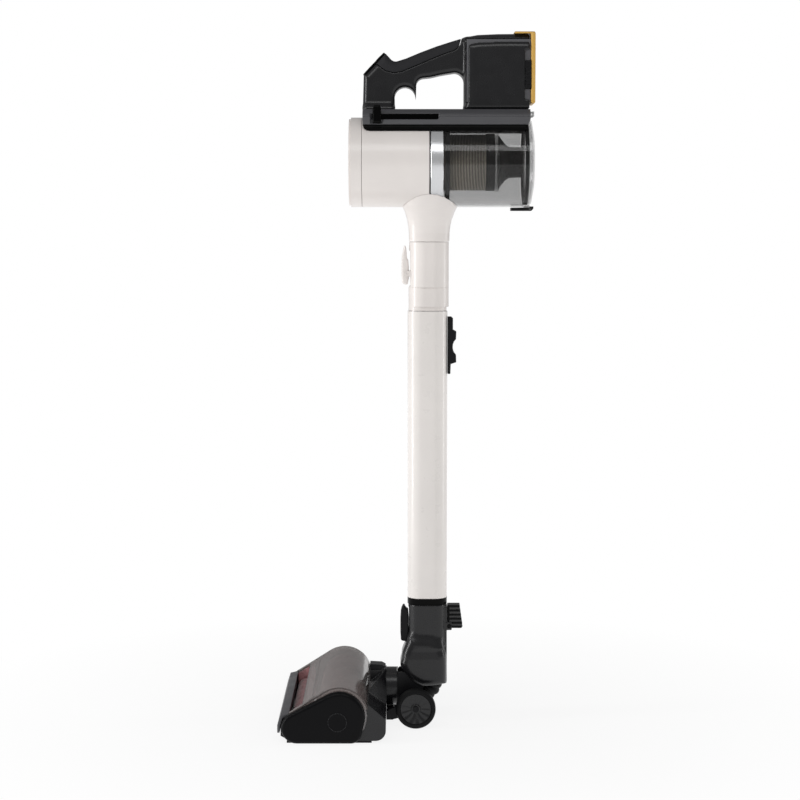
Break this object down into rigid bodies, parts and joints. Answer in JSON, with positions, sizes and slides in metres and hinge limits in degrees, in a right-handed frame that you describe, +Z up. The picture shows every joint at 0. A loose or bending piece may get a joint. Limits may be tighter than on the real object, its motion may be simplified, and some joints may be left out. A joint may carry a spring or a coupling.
{
  "type": "cordless stick vacuum",
  "caption": "Cordless stick vacuum: motorised floor head with clear hood, telescopic oval wand, and a hand unit with a clear dust bin, loop handle and slide-out battery.",
  "frame": {"origin": "centre of the footprint on the floor", "axes": "+Z up along the wand; -X is the front of the floor head; +Y is the head's right side seen from behind the handle"},
  "size_m": [0.3299, 0.26, 0.9028],
  "materials": {
    "matte_black": "satin black moulded plastic",
    "gloss_black": "polished black plastic",
    "charcoal": "fine-textured charcoal plastic",
    "soft_grip": "soft-touch rubber",
    "beige": "satin warm-white plastic",
    "beige_tube": "satin painted aluminium",
    "inner_metal": "anodised",
    "silver": "satin silver",
    "metal": "turned steel",
    "smoke_clear": "smoked clear plastic",
    "smoke_hood": "dark smoked clear plastic",
    "screen_mesh": "etched metal mesh",
    "rubber_black": "matte rubber",
    "burgundy_plush": "short burgundy plush",
    "roller_core": "moulded core",
    "motor_grey": "drawn can",
    "motor_steel": "drawn steel can",
    "impeller_alloy": "machined",
    "filter_white": "pleated filter paper",
    "board_green": "solder-masked board",
    "cell_blue": "shrink-wrapped cells",
    "orange": "amber-orange satin plastic"
  },
  "bodies": {
    "floor_head": {"rear_housing": "matte_black", "wheel_carrier": "matte_black", "sole_plate": "matte_black", "clear_hood": "smoke_hood", "end_cap_left": "gloss_black", "end_cap_right": "gloss_black", "front_bumper": "matte_black", "drive_motor": "motor_steel", "drive_belt": "rubber_black"},
    "brush_roller": {"brush_core": "roller_core", "brush_tufts": "burgundy_plush"},
    "motor_pulley": {"motor_pulley": "metal"},
    "front_roller": {"front_roller": "burgundy_plush"},
    "roller_lock": {"roller_lock_knob": "gloss_black"},
    "roller_release": {"roller_release": "matte_black"},
    "wheel_left": {"wheel_left": "rubber_black"},
    "wheel_right": {"wheel_right": "rubber_black"},
    "yoke": {"swivel_yoke": "matte_black", "bellows_hose": "rubber_black"},
    "neck": {"neck_shell": "matte_black", "pivot_pins": "metal"},
    "neck_button": {"neck_button": "matte_black"},
    "foot_pedal": {"foot_pedal": "matte_black"},
    "lower_wand": {"tube_end_ring": "gloss_black", "outer_tube": "beige_tube"},
    "length_slider": {"length_slider": "matte_black"},
    "upper_wand": {"inner_tube": "inner_metal", "lower_collar": "beige", "upper_collar": "beige"},
    "release_latch": {"release_latch": "beige"},
    "hand_unit": {"motor_housing": "beige", "inlet_neck": "beige", "trim_ring": "silver", "chassis_rail": "gloss_black", "handle_left": "charcoal", "handle_right": "charcoal", "grip_pad": "soft_grip", "control_panel": "gloss_black", "circuit_board": "board_green", "suction_motor": "motor_grey", "mesh_screen": "screen_mesh", "screen_collar": "gloss_black", "cyclone_bell": "gloss_black"},
    "power_button": {"power_button": "matte_black"},
    "mode_rocker": {"mode_rocker": "matte_black"},
    "impeller": {"impeller": "impeller_alloy"},
    "exhaust_cap": {"exhaust_cap": "beige", "hepa_filter": "filter_white"},
    "compactor": {"compactor_lever": "gloss_black", "compactor_ring": "matte_black"},
    "dust_bin": {"dust_bin": "smoke_clear"},
    "bin_lid": {"bin_lid": "smoke_clear"},
    "lid_latch": {"lid_latch": "smoke_clear"},
    "battery": {"battery_case": "matte_black", "battery_cells": "cell_blue", "battery_end_plate": "orange"},
    "battery_latch_left": {"battery_latch_left": "matte_black"},
    "battery_latch_right": {"battery_latch_right": "matte_black"}
  },
  "joints": [
    {"name": "brush_spin", "type": "hinge", "parent": "floor_head", "child": "brush_roller", "pos_m": [-0.0853, 0, 0.0342], "axis": [0, 1, 0], "continuous": true},
    {"name": "motor_spin", "type": "hinge", "parent": "floor_head", "child": "motor_pulley", "pos_m": [-0.0405, 0, 0.02], "axis": [0, 1, 0], "continuous": true},
    {"name": "front_roller_spin", "type": "hinge", "parent": "floor_head", "child": "front_roller", "pos_m": [-0.137, 0, 0.016], "axis": [0, 1, 0], "continuous": true},
    {"name": "roller_lock_twist", "type": "hinge", "parent": "floor_head", "child": "roller_lock", "pos_m": [-0.088, 0, 0.0282], "axis": [0, 1, 0], "range_deg": [0, 60]},
    {"name": "roller_release_slide", "type": "slide", "parent": "floor_head", "child": "roller_release", "axis": [1, 0, 0], "range_m": [0, 0.005], "stiffness_N_per_m": 400},
    {"name": "wheel_left_spin", "type": "hinge", "parent": "floor_head", "child": "wheel_left", "pos_m": [0.0121, 0, 0.026], "axis": [0, 1, 0], "continuous": true},
    {"name": "wheel_right_spin", "type": "hinge", "parent": "floor_head", "child": "wheel_right", "pos_m": [0.0121, 0, 0.026], "axis": [0, 1, 0], "continuous": true},
    {"name": "swivel", "type": "hinge", "parent": "floor_head", "child": "yoke", "pos_m": [0.0275, 0, 0.045], "axis": [1, 0, 0], "range_deg": [-35, 35]},
    {"name": "pitch", "type": "hinge", "parent": "yoke", "child": "neck", "pos_m": [0.0215, 0, 0.06], "axis": [0, 1, 0], "range_deg": [0, 75], "deforming": ["bellows_hose"]},
    {"name": "neck_button_press", "type": "slide", "parent": "neck", "child": "neck_button", "axis": [1, 0, 0], "range_m": [0, 0.003], "stiffness_N_per_m": 500},
    {"name": "foot_pedal_press", "type": "hinge", "parent": "neck", "child": "foot_pedal", "pos_m": [0.0565, 0, 0.1275], "axis": [0, 1, 0], "range_deg": [0, 10], "stiffness_Nm_per_rad": 0.8, "springref_deg": -9.74},
    {"name": "wand_lift", "type": "slide", "parent": "neck", "child": "lower_wand", "axis": [0, 0, 1], "range_m": [0, 0.06]},
    {"name": "length_slider_slide", "type": "slide", "parent": "lower_wand", "child": "length_slider", "axis": [0, 0, -1], "range_m": [0, 0.006], "stiffness_N_per_m": 500},
    {"name": "wand_extend", "type": "slide", "parent": "lower_wand", "child": "upper_wand", "axis": [0, 0, 1], "range_m": [0, 0.22]},
    {"name": "release_latch_press", "type": "hinge", "parent": "upper_wand", "child": "release_latch", "pos_m": [0.0009, 0, 0.592], "axis": [0, 1, 0], "range_deg": [0, 6], "stiffness_Nm_per_rad": 0.5},
    {"name": "hand_unit_lift", "type": "slide", "parent": "upper_wand", "child": "hand_unit", "axis": [0, 0, 1], "range_m": [0, 0.06]},
    {"name": "power_button_press", "type": "slide", "parent": "hand_unit", "child": "power_button", "axis": [0.7231, 0, -0.6907], "range_m": [0, 0.001], "stiffness_N_per_m": 800},
    {"name": "mode_rocker_tilt", "type": "hinge", "parent": "hand_unit", "child": "mode_rocker", "pos_m": [-0.03488, 0, 0.86745], "axis": [0, 1, 0], "range_deg": [-3, 3], "stiffness_Nm_per_rad": 0.2},
    {"name": "impeller_spin", "type": "hinge", "parent": "hand_unit", "child": "impeller", "pos_m": [0.0075, 0, 0.736], "axis": [1, 0, 0], "continuous": true},
    {"name": "exhaust_cap_twist", "type": "hinge", "parent": "hand_unit", "child": "exhaust_cap", "pos_m": [-0.0625, 0, 0.736], "axis": [1, 0, 0], "range_deg": [0, 30]},
    {"name": "compactor_push", "type": "slide", "parent": "hand_unit", "child": "compactor", "axis": [1, 0, 0], "range_m": [0, 0.07]},
    {"name": "dust_bin_slide", "type": "slide", "parent": "hand_unit", "child": "dust_bin", "axis": [1, 0, 0], "range_m": [0, 0.11]},
    {"name": "bin_lid_open", "type": "hinge", "parent": "dust_bin", "child": "bin_lid", "pos_m": [0.1615, 0, 0.7976], "axis": [0, -1, 0], "range_deg": [0, 85]},
    {"name": "lid_latch_press", "type": "hinge", "parent": "bin_lid", "child": "lid_latch", "pos_m": [0.1605, 0, 0.6756], "axis": [0, -1, 0], "range_deg": [0, 8], "stiffness_Nm_per_rad": 0.3},
    {"name": "battery_slide", "type": "slide", "parent": "hand_unit", "child": "battery", "axis": [1, 0, 0], "range_m": [0, 0.09]},
    {"name": "battery_latch_left_press", "type": "slide", "parent": "battery", "child": "battery_latch_left", "axis": [0, 1, 0], "range_m": [0, 0.0018], "stiffness_N_per_m": 500},
    {"name": "battery_latch_right_press", "type": "slide", "parent": "battery", "child": "battery_latch_right", "axis": [0, -1, 0], "range_m": [0, 0.0018], "stiffness_N_per_m": 500}
  ],
  "couplings": [
    {"joint": "motor_spin", "follows": "brush_spin", "ratio": 3}
  ]
}
